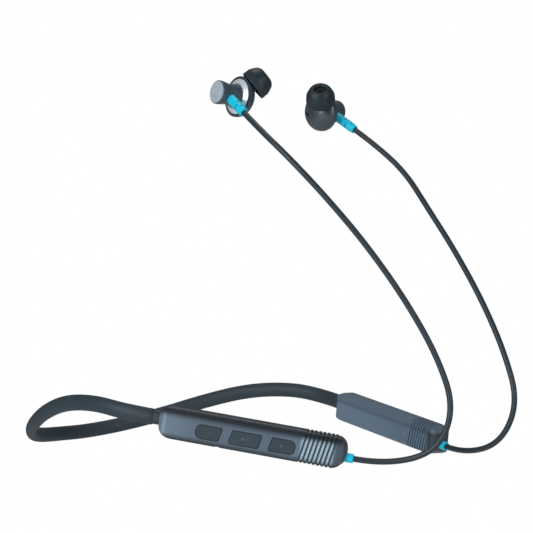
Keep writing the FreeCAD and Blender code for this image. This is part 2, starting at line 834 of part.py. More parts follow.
def tube_path(points, name):
    """Straight runs joined by tangent arcs, each arc as large as its two runs allow."""
    edges = []
    radii = []
    reached = points[0]
    for before, corner, after in zip(points, points[1:], points[2:]):
        back = before - corner
        ahead = after - corner
        cut = 0.45 * min(back.Length, ahead.Length)
        back.normalize()
        ahead.normalize()
        half_turn = (math.pi - back.getAngle(ahead)) / 2
        radius = cut / math.tan(half_turn)
        middle = (back + ahead).normalize()
        near = corner + middle * (radius / math.cos(half_turn) - radius)
        edges.append(Part.LineSegment(reached, corner + back * cut).toShape())
        edges.append(Part.Arc(corner + back * cut, near, corner + ahead * cut).toShape())
        reached = corner + ahead * cut
        radii.append(radius)
    edges.append(Part.LineSegment(reached, points[-1]).toShape())
    path = Part.Wire(edges)
    print(name, "length", round(path.Length, 1), "arc radii", [round(r, 1) for r in radii])
    return path


def sweep(path, section):
    """A section carried along a path without twisting."""
    maker = Part.BRepOffsetAPI.MakePipeShell(path)
    maker.setFrenetMode(False)
    maker.add(section, False, False)
    maker.build()
    maker.makeSolid()
    return maker.shape()


def circle_at(spot, direction, diameter):
    return Part.Wire([Part.Circle(spot, direction, diameter / 2).toShape()])


def shape_piece(label, shape):
    piece = doc.addObject("Part::Feature", label)
    piece.Shape = shape
    return keep(label, piece)


def band_points(setback, raise_by):
    """Corner points of the band, or of a wire that runs beside its axis and further in."""
    lift = Vector(0, 0, raise_by)
    points = []
    for side in ("right", "left"):
        frame = pod_frame(side)
        level = d.collar_raise.number
        end = frame.multVec(Vector(setback, 0, level)) + lift
        lead = frame.multVec(Vector(-d.collar_length.number - BAND_LEAD, 0, level)) + lift
        run = [mirrored(Vector(*spot), side) + lift for spot in BAND_SIDE]
        half = [end, lead] + run
        points += half + [Vector(*BAND_MIDDLE) + lift] if side == "right" else half[::-1]
    return points


def neckband():
    spread = d.wire_bore_spread.number
    sheath = band_points(-d.collar_length.number, 0.0)
    path = tube_path(sheath, "neckband")
    forward = (sheath[1] - sheath[0]).normalize()
    flat = Vector(0, 0, 1).cross(forward).normalize()
    tall = forward.cross(flat)
    oval = Part.Ellipse()
    oval.MajorRadius = d.band_height.number / 2
    oval.MinorRadius = d.band_width.number / 2
    outline = Part.Wire([oval.toShape()])
    outline.Placement = FreeCAD.Placement(
        sheath[0], FreeCAD.Rotation(tall, forward.cross(tall), forward, "ZXY"))
    sheath_shape = sweep(path, outline)
    wires = {
        "band_core_wire": (d.core_wire_size.number, spread, 1.6),
        "band_harness": (d.harness_size.number, -spread, 7.6),
    }
    for label, (size, raise_by, setback) in wires.items():
        points = band_points(setback, raise_by)
        direction = points[1] - points[0]
        route = tube_path(points, label)
        shape_piece(label, sweep(route, circle_at(points[0], direction, size)))
        bore = size + 2 * d.wire_gap.number
        sheath_shape = sheath_shape.cut(sweep(route, circle_at(points[0], direction, bore)))
    shape_piece("band_sleeve", sheath_shape)


def cable(side):
    """One cable, from the face of the pod's ring to the face of the earbud's strain relief."""
    pod = pod_frame(side)
    bud = bud_frame(side)
    face = d.pod_length.number + d.ring_length.number
    level = -d.ring_drop.number
    out = relief_sign(side)
    along = d.relief_place.number
    reach = d.relief_reach.number
    points = [pod.multVec(Vector(face, 0, level)), pod.multVec(Vector(face + CABLE_LEAD, 0, level))]
    points += [Vector(*spot) for spot in CABLE_SIDE[side]]
    points += [bud.multVec(Vector(along, out * (reach + RELIEF_LEAD), 0)),
               bud.multVec(Vector(along, out * reach, 0))]
    label = f"{side}_cable"
    path = tube_path(points, label)
    tube = sweep(path, circle_at(points[0], points[1] - points[0], d.cable_size.number))
    section = math.pi * d.cable_size.number ** 2 / 4
    print(label, "volume over section times length", round(tube.Volume / section / path.Length, 4))
    shape_piece(label, tube)


# ---- earbuds ---------------------------------------------------------------------------------
# In an earbud's own frame X runs from the end cap toward the ear.

cap_radius = d.cap_size / 2
waist_radius = d.waist_size / 2
trim_start = d.barrel_length
trim_end = trim_start + d.trim_length
rim_start = trim_end
flange_plane = rim_start + d.bowl_rim / 2
shoulder_radius = d.trim_size / 2 - 0.9
bowl_radius = d.bowl_size / 2
relief_neck = d.relief_size / 2 - 0.45
nozzle_lip = Size.of(0.15)


def bud_barrel(label, frame, side):
    """The waisted housing, hollow, with a shoulder that the trim ring and the bowl sit on."""
    bore = waist_radius - d.barrel_wall
    seat = d.cap_thickness
    body = turn(label, [
        (0.2, cap_radius, 0.2), (seat + 0.6, cap_radius, 0.5), (d.relief_place, waist_radius, 6.0),
        (trim_start, cap_radius - 0.1), (trim_start, cap_radius + 0.1),
        (trim_end, cap_radius + 0.1), (trim_end, shoulder_radius),
        (trim_end + 0.7, shoulder_radius), (trim_end + 0.7, bore), (seat + 0.5, bore),
        (seat + 0.5, cap_radius - 0.8), (0.2, cap_radius - 0.8)])
    out = relief_sign(side)
    neck_hole = (d.relief_place, 0, 2 * (relief_neck + d.fit_gap))
    pocket(body, "XZ_Plane", [], 1.5, offset=-out * (waist_radius - 0.5), circles=[neck_hole])
    shoulder_seat = (d.relief_place, 0, d.relief_size + 2 * d.fit_gap)
    pocket(body, "XZ_Plane", [], 1.0, offset=-out * (waist_radius + 1), circles=[shoulder_seat])
    return keep(label, body, frame)


def end_cap(label, frame):
    """The brushed disc with a rim and a snap skirt that plugs into the barrel."""
    skirt = cap_radius - 0.8 - d.fit_gap
    body = turn(label, [
        (0, 0), (0, cap_radius - 0.35), (0.2, cap_radius - 0.35), (0.2, skirt),
        (d.cap_thickness + 0.4, skirt), (d.cap_thickness + 0.4, 0)])
    return keep(label, body, frame)


def trim_ring(label, frame):
    """The silver cone between the barrel and the bowl."""
    body = turn(label, [
        (trim_start + 0.05, cap_radius + 0.15), (trim_start + 0.05, cap_radius + 0.8),
        (trim_end - 0.2, d.trim_size / 2), (trim_end - 0.02, d.trim_size / 2),
        (trim_end - 0.02, cap_radius + 0.15)])
    return keep(label, body, frame)


nozzle_tilt = FreeCAD.Rotation(Vector(0, 1, 0), -DIMENSIONS["nozzle_angle"])


def nozzle_frame(frame):
    """The nozzle's own frame: X out along the nozzle from where it crosses the barrel's axis."""
    return frame * FreeCAD.Placement(Vector(flange_plane.number, 0, 0), nozzle_tilt)


def dome(name, radius, rise, start):
    """Half an ellipsoid of revolution standing on a short rim, filled."""
    ball = doc.addObject("Part::Ellipsoid", f"{name}_ball")
    bind(ball, "Radius1", rise)
    bind(ball, "Radius2", radius)
    bind(ball, "Radius3", radius)
    ball.Angle1 = 0
    ball.Angle2 = 90
    ball.Placement = FreeCAD.Placement(Vector(flange_plane.number, 0, 0),
                                       FreeCAD.Rotation(Vector(0, 1, 0), 90))
    drum = rod(f"{name}_drum", 2 * radius, flange_plane - start, Vector(start.number, 0, 0))
    return [ball, drum]


def front_bowl(label, frame, side):
    """The bowl that holds the driver: rim, dome and leaning nozzle, with a slot for a vent."""
    stem = turn(f"{label}_stem", [
        (2.0, 0), (2.0, d.nozzle_size / 2), (d.nozzle_reach - 1.2, d.nozzle_size / 2),
        (d.nozzle_reach - 0.9, d.nozzle_size / 2 + nozzle_lip),
        (d.nozzle_reach, d.nozzle_size / 2 + nozzle_lip, 0.1), (d.nozzle_reach, 0)])
    stem.Placement = FreeCAD.Placement(Vector(flange_plane.number, 0, 0), nozzle_tilt)
    outside = join(f"{label}_outside", dome(f"{label}_skin", bowl_radius, d.dome_rise, rim_start)
                   + [stem])
    bore = rod(f"{label}_bore", d.nozzle_bore, d.nozzle_reach * 2,
               Vector(flange_plane.number, 0, 0), nozzle_tilt)
    opening = rod(f"{label}_opening", 2 * (shoulder_radius + d.fit_gap), 2.0,
                  Vector(rim_start.number - 1.2, 0, 0))
    vent = vent_box(f"{label}_vent", d.dome_rise + 2, 0.0, 0.0, side)
    hollow = dome(f"{label}_hollow", bowl_radius - d.bowl_wall, d.dome_rise - d.bowl_wall,
                  rim_start + 0.75)
    inside = join(f"{label}_inside", hollow + [bore, opening, vent])
    return keep(label, cut_away(label, outside, inside, frame), frame)


def vent_box(name, length, depth, grow, side):
    """A block lined up with the vent, which lies low on the side away from the strain relief."""
    box = doc.addObject("Part::Box", name)
    wide = d.vent_width + 2 * grow
    tall = d.vent_height + 2 * grow
    for prop, size in (("Length", length), ("Width", wide), ("Height", tall)):
        bind(box, prop, size)
    across = -relief_sign(side) * d.vent_side.number
    spot = Vector(flange_plane.number + depth, across - wide.number / 2,
                  -d.vent_drop.number - tall.number / 2)
    box.Placement = FreeCAD.Placement(spot, FreeCAD.Rotation())
    return box


def vent_screen(label, frame, side):
    """A fine mesh behind the vent slot, between the dome and the driver's rim."""
    screen = vent_box(label, 0.25, 2.1, 0.12, side)
    return keep(label, screen, frame * screen.Placement)


driver_start = rim_start + 0.75


def driver(prefix, frame):
    """The moving-coil driver: a frame with a magnet let into its back and a domed diaphragm."""
    outer = d.driver_size / 2
    back = driver_start - 0.05
    magnet = d.driver_size * 0.3
    frame_piece = turn(f"{prefix}_driver_frame", [
        (back, magnet + d.fit_gap), (back, outer), (back + 1.9, outer),
        (back + 1.9, outer - 0.5), (back + 0.8, outer - 0.9), (back + 0.8, magnet + d.fit_gap)])
    keep(f"{prefix}_driver_frame", frame_piece, frame)
    magnet_piece = turn(f"{prefix}_driver_magnet", [
        (back - 1.2, 0), (back - 1.2, magnet), (back + 0.8, magnet), (back + 0.8, 0)])
    keep(f"{prefix}_driver_magnet", magnet_piece, frame)
    film = turn(f"{prefix}_diaphragm", [
        (back + 1.9, 0), (back + 1.6, magnet), (back + 2.0, outer - 0.1),
        (back + 2.15, outer - 0.1), (back + 1.8, magnet), (back + 2.1, 0)])
    keep(f"{prefix}_diaphragm", film, frame)


def nozzle_mesh(label, frame):
    body = turn(label, [(d.nozzle_reach - 0.7, 0), (d.nozzle_reach - 0.7, d.nozzle_bore / 2 - 0.02),
                        (d.nozzle_reach - 0.4, d.nozzle_bore / 2 - 0.02),
                        (d.nozzle_reach - 0.4, 0)])
    return keep(label, body, nozzle_frame(frame))


def ear_tip(label, frame):
    """The soft tip: a core tube on the nozzle and a skirt that folds back over it."""
    grip = d.nozzle_size / 2 + nozzle_lip + d.fit_gap
    core = grip + 0.9
    start = d.tip_start
    end = start + d.tip_length
    fold = end - 2.3
    radius = d.tip_size / 2
    shoulder_size = radius * 0.74
    body = turn(label, [
        (start + 1.2, grip), (start + 1.2, core), (fold, core, 0.3),
        (fold, shoulder_size - d.tip_skin / 2, 0.4), (start + 3.0, radius - d.tip_skin - 0.1, 2.0),
        (start, radius - d.tip_skin), (start, radius, 0.3), (start + 3.2, radius - 0.1, 3.0),
        (end - 1.0, shoulder_size, 2.0), (end, d.tip_mouth / 2 + 0.6, 0.5),
        (end - 0.9, grip + 0.2), (end - 1.6, grip)])
    return keep(label, body, nozzle_frame(frame))


def strain_relief(label, frame, side):
    """The bright slotted sleeve that carries the cable out of the barrel."""
    root = waist_radius - d.barrel_wall - 0.2
    seat = waist_radius + d.fit_gap
    outer = d.relief_size / 2
    body = turn(label, [
        (root, 0), (root, relief_neck), (seat, relief_neck), (seat, outer),
        (d.relief_reach - 2.0, outer), (d.relief_reach, outer - 0.25, 0.2), (d.relief_reach, 0)])
    slot_length = d.relief_size * 0.62
    for index, setback in enumerate((6.2, 4.4, 2.6)):
        x = d.relief_reach - setback
        low, high = outer - 0.75, outer + 1
        if index % 2:
            low, high = -high, -low
        for plane in ("XY_Plane", "XZ_Plane"):
            pocket(body, plane, [rectangle(x - 0.3, x + 0.3, low, high)], slot_length / 2)
    quarter = FreeCAD.Rotation(Vector(0, 0, 1), 90 * relief_sign(side))
    seat = FreeCAD.Placement(Vector(d.relief_place.number, 0, 0), quarter)
    return keep(label, body, frame * seat)


def earbud(side):
    frame = bud_frame(side)
    end_cap(f"{side}_end_cap", frame)
    bud_barrel(f"{side}_barrel", frame, side)
    trim_ring(f"{side}_trim_ring", frame)
    front_bowl(f"{side}_bowl", frame, side)
    vent_screen(f"{side}_vent_screen", frame, side)
    driver(side, frame)
    nozzle_mesh(f"{side}_nozzle_mesh", frame)
    ear_tip(f"{side}_ear_tip", frame)
    strain_relief(f"{side}_strain_relief", frame, side)


# ---- the assembly ----------------------------------------------------------------------------

def control_pod():
    def near_features(body, sign):
        key_windows(body, sign)
        screw_threads(body)

    shell("control_outer_shell", "right", -1, near_features)
    shell("control_inner_shell", "right", 1, port_opening)
    for label, (start, end, nose) in KEYS.items():
        key(label, start, end, nose)
    board("control_board", "right", d.board_start, d.pod_length - d.board_setback - 2.0)
    key_switches()
    board_chips()
    usb_port()
    usb_flap()
    band_anchor("control_band_anchor", "right")
    cable_ring("control_cable_ring", "right")
    screws("control_screws", "right")


def battery_pod():
    light_place = battery_board_start + 2.5
    light_size = Size.of(1.5)
    sound_slot = (d.pod_length - 8.6, d.pod_length - 7.0, shoulder - 0.8, shoulder - 0.2)

    def light_window(body, sign):
        window = (light_place, row_middle, light_size + 2 * d.fit_gap)
        pocket(body, "XZ_Plane", [], circles=[window])
        pocket(body, "XZ_Plane", [rectangle(*sound_slot)])
        screw_threads(body)

    shell("battery_inner_shell", "left", -1, light_window)
    shell("battery_outer_shell", "left", 1, screw_holes)
    battery_cell()
    board("battery_board", "left", battery_board_start, d.pod_length - d.board_setback)
    lamp_height = Size.of(0.6)
    light_root = board_near + lamp_height + d.fit_gap
    light_top = half_thickness + 0.15
    outline = rectangle(light_root, light_top, 0, light_size / 2)
    light = turn("status_light", [outline[0], outline[1], (light_top, light_size / 2, 0.3),
                                  outline[3]])
    toward_near = FreeCAD.Rotation(Vector(0, 0, 1), -90)
    spot = Vector(light_place.number, 0, row_middle.number)
    keep("status_light", light, pod_frame("left") * FreeCAD.Placement(spot, toward_near))
    lamp = block("status_lamp", light_place - 0.8, light_place + 0.8, row_middle - 0.4,
                 row_middle + 0.4, board_near, lamp_height)
    keep("status_lamp", lamp, pod_frame("left"))
    microphone(sound_slot)
    band_anchor("battery_band_anchor", "left")
    cable_ring("battery_cable_ring", "left")
    screws("battery_screws", "left")


control_pod()
battery_pod()
neckband()
for side in ("right", "left"):
    cable(side)
    earbud(side)

doc.recompute()

# ---- checks and export -----------------------------------------------------------------------

faults = []
for item in doc.Objects:
    if "Invalid" in item.State or "Error" in item.State:
        faults.append(f"{item.Name} {item.State}")
for label, piece in pieces.items():
    if piece.Shape.isNull() or not piece.Shape.isValid() or not piece.Shape.Solids:
        faults.append(f"{label} has no valid solid")
if faults:
    raise RuntimeError("; ".join(faults))

os.makedirs("parts", exist_ok=True)
for label, piece in pieces.items():
    piece.Shape.exportStep(f"parts/{label}.step")
    print(f"{label:24s} solids {len(piece.Shape.Solids)} volume {piece.Shape.Volume:9.2f}")
print(len(pieces), "sub-parts")
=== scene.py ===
import math

import bmesh
import bpy
from mathutils import Matrix, Vector

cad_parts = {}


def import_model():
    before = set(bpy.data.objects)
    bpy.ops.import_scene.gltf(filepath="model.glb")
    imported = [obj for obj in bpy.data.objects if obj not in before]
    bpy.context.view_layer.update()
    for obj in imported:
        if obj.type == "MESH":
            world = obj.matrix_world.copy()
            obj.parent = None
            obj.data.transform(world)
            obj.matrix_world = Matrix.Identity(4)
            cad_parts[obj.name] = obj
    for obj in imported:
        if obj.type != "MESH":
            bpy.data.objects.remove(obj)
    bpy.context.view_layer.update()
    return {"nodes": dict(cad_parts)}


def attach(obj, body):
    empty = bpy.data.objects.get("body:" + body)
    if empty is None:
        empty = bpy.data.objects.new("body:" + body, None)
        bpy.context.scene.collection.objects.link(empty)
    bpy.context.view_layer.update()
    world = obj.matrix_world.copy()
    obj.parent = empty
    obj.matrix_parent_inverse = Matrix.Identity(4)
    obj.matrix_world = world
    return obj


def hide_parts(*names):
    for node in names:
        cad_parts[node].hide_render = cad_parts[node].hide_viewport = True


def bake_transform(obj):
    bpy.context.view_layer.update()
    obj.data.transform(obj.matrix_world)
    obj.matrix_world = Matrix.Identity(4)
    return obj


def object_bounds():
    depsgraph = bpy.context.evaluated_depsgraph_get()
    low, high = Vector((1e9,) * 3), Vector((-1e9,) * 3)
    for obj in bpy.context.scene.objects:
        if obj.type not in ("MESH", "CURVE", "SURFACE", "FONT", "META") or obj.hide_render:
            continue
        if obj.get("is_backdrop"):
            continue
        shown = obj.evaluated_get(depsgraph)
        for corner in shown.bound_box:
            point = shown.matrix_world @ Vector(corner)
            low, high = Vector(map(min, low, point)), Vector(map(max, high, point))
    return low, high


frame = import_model()

MM = 0.001

# ---- layout, the same as the CAD model's -----------------------------------------------------
# +X is the wearer's front, +Y the wearer's left and +Z up. Points are in metres, and where both
# sides share one it is the left side's.
POD_START = Vector((0.1065, 0.0711, 0.0130))
POD_TIP = Vector((0.1748, 0.0401, 0.0001))
RELIEF_END = Vector((0.1295, 0.0443, 0.1363))
BARREL_DIRECTION = Vector((0.32, -0.94, -0.11))
RELIEF_DIRECTION = Vector((0.76, 0.32, -0.56))
BUD_YAW = {"right": 0.0, "left": math.radians(-26.0)}
SIDES = ("right", "left")
ARM = {"right": "control_arm", "left": "battery_arm"}
UP = Vector((0, 0, 1))

POD_LENGTH = 76.0 * MM
POD_HEIGHT = 13.3 * MM
POD_THICKNESS = 9.5 * MM
TOP_ROUND = 3.9 * MM
COLLAR_LENGTH = 2.4 * MM
COLLAR_RAISE = 0.6 * MM
BAND_HEIGHT = 6.6 * MM
BAND_WIDTH = 4.8 * MM
BAND_LEAD = 12.0 * MM
WIRE_SPREAD = 1.35 * MM
CORE_WIRE_SIZE = 1.0 * MM
CORE_WIRE_REACH = 1.6 * MM
HARNESS_SIZE = 1.4 * MM
HARNESS_REACH = 7.6 * MM
RING_LENGTH = 2.8 * MM
RING_DROP = 1.7 * MM
CABLE_SIZE = 2.4 * MM
CABLE_LEAD = 13.0 * MM
RELIEF_PLACE = 5.2 * MM
RELIEF_REACH = 15.8 * MM
RELIEF_LEAD = 14.0 * MM
FLANGE_PLANE = 11.7 * MM
NOZZLE_ANGLE = math.radians(56.0)

# Control points of the band and the cables between their straight ends.
BAND_SIDE = [
    (0.0770, 0.0756, 0.0192), (0.0570, 0.0692, 0.0186), (0.0385, 0.0602, 0.0138),
    (0.0220, 0.0482, 0.0076), (0.0085, 0.0340, 0.0029), (-0.0006, 0.0170, 0.0002),
]
BAND_MIDDLE = (-0.0030, 0.0, -0.0001)
CABLE_SIDE = {
    "right": [
        (0.2080, -0.0280, 0.0010), (0.2150, -0.0265, 0.0180), (0.2085, -0.0280, 0.0380),
        (0.1970, -0.0325, 0.0600), (0.1825, -0.0380, 0.0820), (0.1680, -0.0455, 0.1015),
        (0.1540, -0.0510, 0.1175),
    ],
    "left": [
        (0.2080, 0.0280, 0.0010), (0.2170, 0.0260, 0.0180), (0.2105, 0.0275, 0.0380),
        (0.1980, 0.0320, 0.0600), (0.1825, 0.0365, 0.0820), (0.1680, 0.0405, 0.1000),
        (0.1555, 0.0435, 0.1160),
    ],
}


def out_sign(side):
    return 1 if side == "left" else -1


def mirrored(vector, side):
    return Vector((vector[0], vector[1] * out_sign(side), vector[2]))


def frame_of(spot, forward, upward):
    """A matrix at a spot whose X runs forward and whose Z is as near upward as it can be."""
    x = forward.normalized()
    y = upward.cross(x).normalized()
    z = x.cross(y)
    return Matrix.Translation(spot) @ Matrix((x, y, z)).transposed().to_4x4()


def pod_frame(side):
    """A pod's own frame: X from the band to the cable, Y to the wearer's left, Z up its height."""
    start = mirrored(POD_START, side)
    return frame_of(start, mirrored(POD_TIP, side) - start, UP)


def bud_frame(side):
    """An earbud's own frame: X along the barrel to the ear, Z to the side its nozzle leans."""
    barrel = mirrored(BARREL_DIRECTION, side).normalized()
    relief = mirrored(RELIEF_DIRECTION, side)
    relief = (relief - barrel * relief.dot(barrel)).normalized()
    lean = barrel.cross(relief) if side == "left" else relief.cross(barrel)
    yaw = Matrix.Rotation(BUD_YAW[side], 3, "Z")
    barrel, relief, lean = yaw @ barrel, yaw @ relief, yaw @ lean
    spot = mirrored(RELIEF_END, side) - relief * RELIEF_REACH - barrel * RELIEF_PLACE
    return frame_of(spot, barrel, lean)


def nozzle_frame(side):
    """X out along the nozzle from where it crosses the barrel's axis."""
    tilt = Matrix.Rotation(-NOZZLE_ANGLE, 4, "Y")
    return bud_frame(side) @ Matrix.Translation((FLANGE_PLANE, 0, 0)) @ tilt


# ---- materials -------------------------------------------------------------------------------

# Noise stays mostly between these two levels, so looks are spread over them.
NOISE_LOW, NOISE_HIGH = 0.3, 0.7


def shade(colour, share):
    """A colour made lighter or darker, kept between black and white."""
    return tuple(max(0.0, min(1.0, c * share)) for c in colour)


def opaque(colour):
    """A colour with its alpha, or another node's output as it is."""
    return (*colour, 1.0) if isinstance(colour, tuple) else colour


class Finish:
    """A material in the making: its nodes, its shader and the object's own coordinates."""

    def __init__(self, name):
        self.material = bpy.data.materials.new(name)
        self.material.use_nodes = True
        self.tree = self.material.node_tree
        self.shader = self.tree.nodes["Principled BSDF"]
        self.place = self.add("TexCoord", {}).outputs["Object"]

    def fill(self, node, inputs):
        """Sets a node's inputs to plain values, or joins them to other nodes' outputs."""
        for key, value in inputs.items():
            if isinstance(value, bpy.types.NodeSocket):
                self.tree.links.new(value, node.inputs[key])
            else:
                node.inputs[key].default_value = value

    def add(self, kind, inputs, **settings):
        node = self.tree.nodes.new(f"ShaderNode{kind}")
        for key, value in settings.items():
            setattr(node, key, value)
        self.fill(node, inputs)
        return node

    def noise(self, scale, detail):
        node = self.add("TexNoise", {"Vector": self.place, "Scale": scale, "Detail": detail,
                                     "Roughness": 0.55})
        return node.outputs["Fac"]

    def remap(self, source, low, high, to_low=0.0, to_high=1.0):
        node = self.add("MapRange", {"Value": source, "From Min": low, "From Max": high,
                                     "To Min": to_low, "To Max": to_high})
        return node.outputs["Result"]

    def ramp(self, source, stops):
        """A colour that follows a value through (position, colour) stops."""
        node = self.add("ValToRGB", {"Fac": source})
        points = node.color_ramp.elements
        while len(points) < len(stops):
            points.new(0.5)
        for point, (position, colour) in zip(points, stops):
            point.position = position
            point.color = opaque(colour)
        return node.outputs["Color"]

    def levels(self, source, stops):
        """A grey that follows a value through (position, level) stops, to multiply or mix by."""
        return self.ramp(source, [(spot, (level, level, level)) for spot, level in stops])

    def tones(self, source, colour, dark, light):
        """A colour that goes from a dark share of itself to a light one as a noise rises."""
        return self.ramp(source, [(NOISE_LOW, shade(colour, dark)),
                                  (NOISE_HIGH, shade(colour, light))])

    def swing(self, source, middle, reach):
        """A value that goes from below its middle to above it as a noise rises."""
        return self.remap(source, NOISE_LOW, NOISE_HIGH, middle - reach, middle + reach)

    def mix(self, share, first, second, blend="MIX"):
        """Two colours mixed by a share. Inputs 6 and 7 and output 2 are the node's colours."""
        node = self.add("Mix", {0: share, 6: opaque(first), 7: opaque(second)},
                        data_type="RGBA", blend_type=blend)
        return node.outputs[2]

    def along(self, matrix, axis):
        """How far a point lies along one axis of a frame, in metres."""
        direction = matrix.to_3x3().col[axis]
        dot = self.add("VectorMath", {0: self.place, 1: direction}, operation="DOT_PRODUCT")
        start = direction.dot(matrix.translation)
        less = self.add("Math", {0: dot.outputs["Value"], 1: start}, operation="SUBTRACT")
        return less.outputs[0]

    def bump(self, height, strength, distance):
        node = self.add("Bump", {"Height": height, "Strength": strength, "Distance": distance})
        self.fill(self.shader, {"Normal": node.outputs["Normal"]})


def surface(name, colour, rough, metal=0.0, coat=0.0, coat_rough=0.1, grain=2500.0,
            grain_depth=0.008 * MM, patch=60.0, patch_share=0.10, specular=0.5):
    """Moulded or metal stock: slow patches of tone, a fine grain and a worn-in roughness."""
    made = Finish(name)
    patches = made.noise(patch, 3.0)
    fine = made.noise(grain, 2.0)
    made.fill(made.shader, {
        "Base Color": made.tones(patches, colour, 1 - patch_share, 1 + patch_share),
        "Roughness": made.swing(fine, rough, 0.05), "Metallic": metal,
        "Coat Weight": coat, "Coat Roughness": coat_rough, "Specular IOR Level": specular,
    })
    made.bump(fine, 0.35, grain_depth)
    return made.material


def pod_paint(side, face, rim, crease_shade, rib_highlight, groove_shade):
    """Satin slate plastic with light and shade painted into its colour.

    The face's colour follows (share of the length, colour) stops, which paint light and shade
    along it. Its ribs and grooves, told apart by how far they stand out, take a paler colour as
    painted highlight and a darker one as painted shade. The rounded top and bottom edges take the
    rim colour as painted shade, and painted shade darkens the foot of the top rounding.
    """
    made = Finish(f"pod_{side}")
    local = pod_frame(side)
    across = made.remap(made.along(local, 2), -POD_HEIGHT / 2, POD_HEIGHT / 2)
    lengthwise = made.remap(made.along(local, 0), 0.0, POD_LENGTH)
    depth = made.add("Math", {0: made.along(local, 1)}, operation="ABSOLUTE").outputs[0]
    foot = 1 - TOP_ROUND / POD_HEIGHT

    # Along the face the length stops paint light and shade; ribs take a paler colour as painted
    # highlight and grooves a darker one as painted shade.
    proud = made.levels(made.remap(depth, 4.0 * MM, POD_THICKNESS / 2), [(0.40, 0.0), (0.70, 1.0)])
    ribbed = made.levels(lengthwise, [(0.757, 0.0), (0.77, 1.0), (0.925, 1.0), (0.945, 0.0)])
    flat = made.mix(ribbed, made.ramp(lengthwise, face), made.mix(proud, groove_shade, rib_highlight))
    # The rounded top and bottom edges take the rim colour as painted shade.
    on_face = made.levels(across, [(0.03, 0.0), (0.20, 1.0), (foot - 0.04, 1.0),
                                   (foot + 0.08, 0.0)])
    # Painted shade darkens the foot of the top rounding.
    painted_crease = made.levels(across, [(foot - 0.12, 1.0), (foot - 0.02, crease_shade), (foot + 0.08, 1.0)])
    specks = made.levels(made.noise(900.0, 3.0), [(0.35, 0.93), (0.65, 1.0)])
    body = made.mix(on_face, rim, flat)
    for layer in (painted_crease, specks):
        body = made.mix(1.0, body, layer, "MULTIPLY")

    fine = made.noise(4200.0, 2.0)
    made.fill(made.shader, {"Base Color": body, "Roughness": made.swing(fine, 0.41, 0.05)})
    made.bump(fine, 0.25, 0.015 * MM)
    return made.material


def ringed_metal(name, colour, matrix, rough, metal, pitch=0.16 * MM, depth=0.008 * MM):
    """Metal turned in rings round a frame's X axis, with light streaks."""
    made = Finish(name)
    local = matrix.inverted()
    mapping = made.add("Mapping", {"Vector": made.place, "Location": local.translation,
                                   "Rotation": local.to_3x3().to_euler()})
    split = made.add("SeparateXYZ", {0: mapping.outputs[0]})
    flat = made.add("CombineXYZ", {"X": split.outputs["Y"], "Y": split.outputs["Z"]})
    radius = made.add("VectorMath", {0: flat.outputs[0]}, operation="LENGTH").outputs["Value"]
    rings = made.add("TexNoise", {"W": radius, "Scale": 1.0 / pitch, "Detail": 3.0},
                     noise_dimensions="1D").outputs["Fac"]
    made.fill(made.shader, {"Base Color": made.tones(rings, colour, 0.72, 1.15),
                            "Roughness": made.swing(rings, rough, 0.08), "Metallic": metal})
    made.bump(rings, 0.4, depth)
    return made.material


def woven_mesh(name):
    """Fine wire mesh: a grid of holes in steel, with the holes painted near black and the wires
    dark, as painted shade of the hollow behind it.
    """
    made = Finish(name)
    holes = made.add("TexVoronoi", {"Vector": made.place, "Scale": 3500.0, "Randomness": 0.1})
    wires = holes.outputs["Distance"]
    # Painted shade: near black in the holes and dark on the wires, for the hollow the mesh covers.
    tone = made.ramp(wires, [(0.30, (0.004, 0.004, 0.004)), (0.45, (0.05, 0.05, 0.055))])
    made.fill(made.shader, {"Base Color": tone, "Metallic": 0.8, "Roughness": 0.45})
    made.bump(wires, 0.6, 0.05 * MM)
    return made.material


def circuit(name):
    """Solder mask over copper: faint tracks between plated pads."""
    made = Finish(name)
    tracks = made.add("TexBrick", {
        "Vector": made.place, "Scale": 420.0, "Mortar Size": 0.02,
        "Color1": opaque((0.010, 0.075, 0.035)), "Color2": opaque((0.013, 0.090, 0.042)),
        "Mortar": opaque((0.030, 0.140, 0.060)),
    })
    made.fill(made.shader, {"Base Color": tracks.outputs["Color"], "Roughness": 0.35})
    made.bump(tracks.outputs["Fac"], 0.3, 0.03 * MM)
    return made.material


BAND_SLATE = (0.019, 0.031, 0.042)
CYAN = (0.002, 0.50, 0.68)

silicone = surface("band_silicone", BAND_SLATE, 0.55, grain=1800.0, patch=25.0, specular=0.35)
cable_skin = surface("cable_skin", shade(BAND_SLATE, 0.85), 0.42, grain=3000.0,
                     grain_depth=0.003 * MM, patch=40.0, patch_share=0.12, specular=0.4)
key_plastic = surface("key_plastic", (0.020, 0.036, 0.049), 0.50, grain=3600.0, specular=0.35)
symbol_ink = surface("symbol_ink", (0.040, 0.062, 0.080), 0.5, grain=3600.0)
anchor_plastic = surface("anchor_plastic", shade(BAND_SLATE, 0.85), 0.5)
bright_plastic = surface("bright_plastic", CYAN, 0.42, grain_depth=0.003 * MM, patch_share=0.03,
                         specular=0.35)
bud_plastic = surface("bud_plastic", (0.024, 0.037, 0.050), 0.36, coat=0.4, coat_rough=0.2,
                      grain_depth=0.003 * MM, patch_share=0.08)
barrel_plastic = surface("barrel_plastic", (0.034, 0.053, 0.069), 0.32, coat=0.25,
                         coat_rough=0.2, patch_share=0.15)
tip_silicone = surface("tip_silicone", (0.008, 0.018, 0.025), 0.46, grain=2200.0,
                       grain_depth=0.004 * MM, patch=120.0, patch_share=0.12, specular=0.4)
steel = surface("plated_steel", (0.55, 0.56, 0.58), 0.28, metal=1.0, patch_share=0.08)
resin = surface("chip_resin", (0.012, 0.012, 0.014), 0.55)
foil = surface("cell_foil", (0.60, 0.61, 0.63), 0.35, metal=0.9, patch=200.0, patch_share=0.12)
film = surface("speaker_film", (0.55, 0.50, 0.38), 0.3, coat=0.3)
window = surface("light_window", (0.17, 0.215, 0.265), 0.30, coat=0.2)
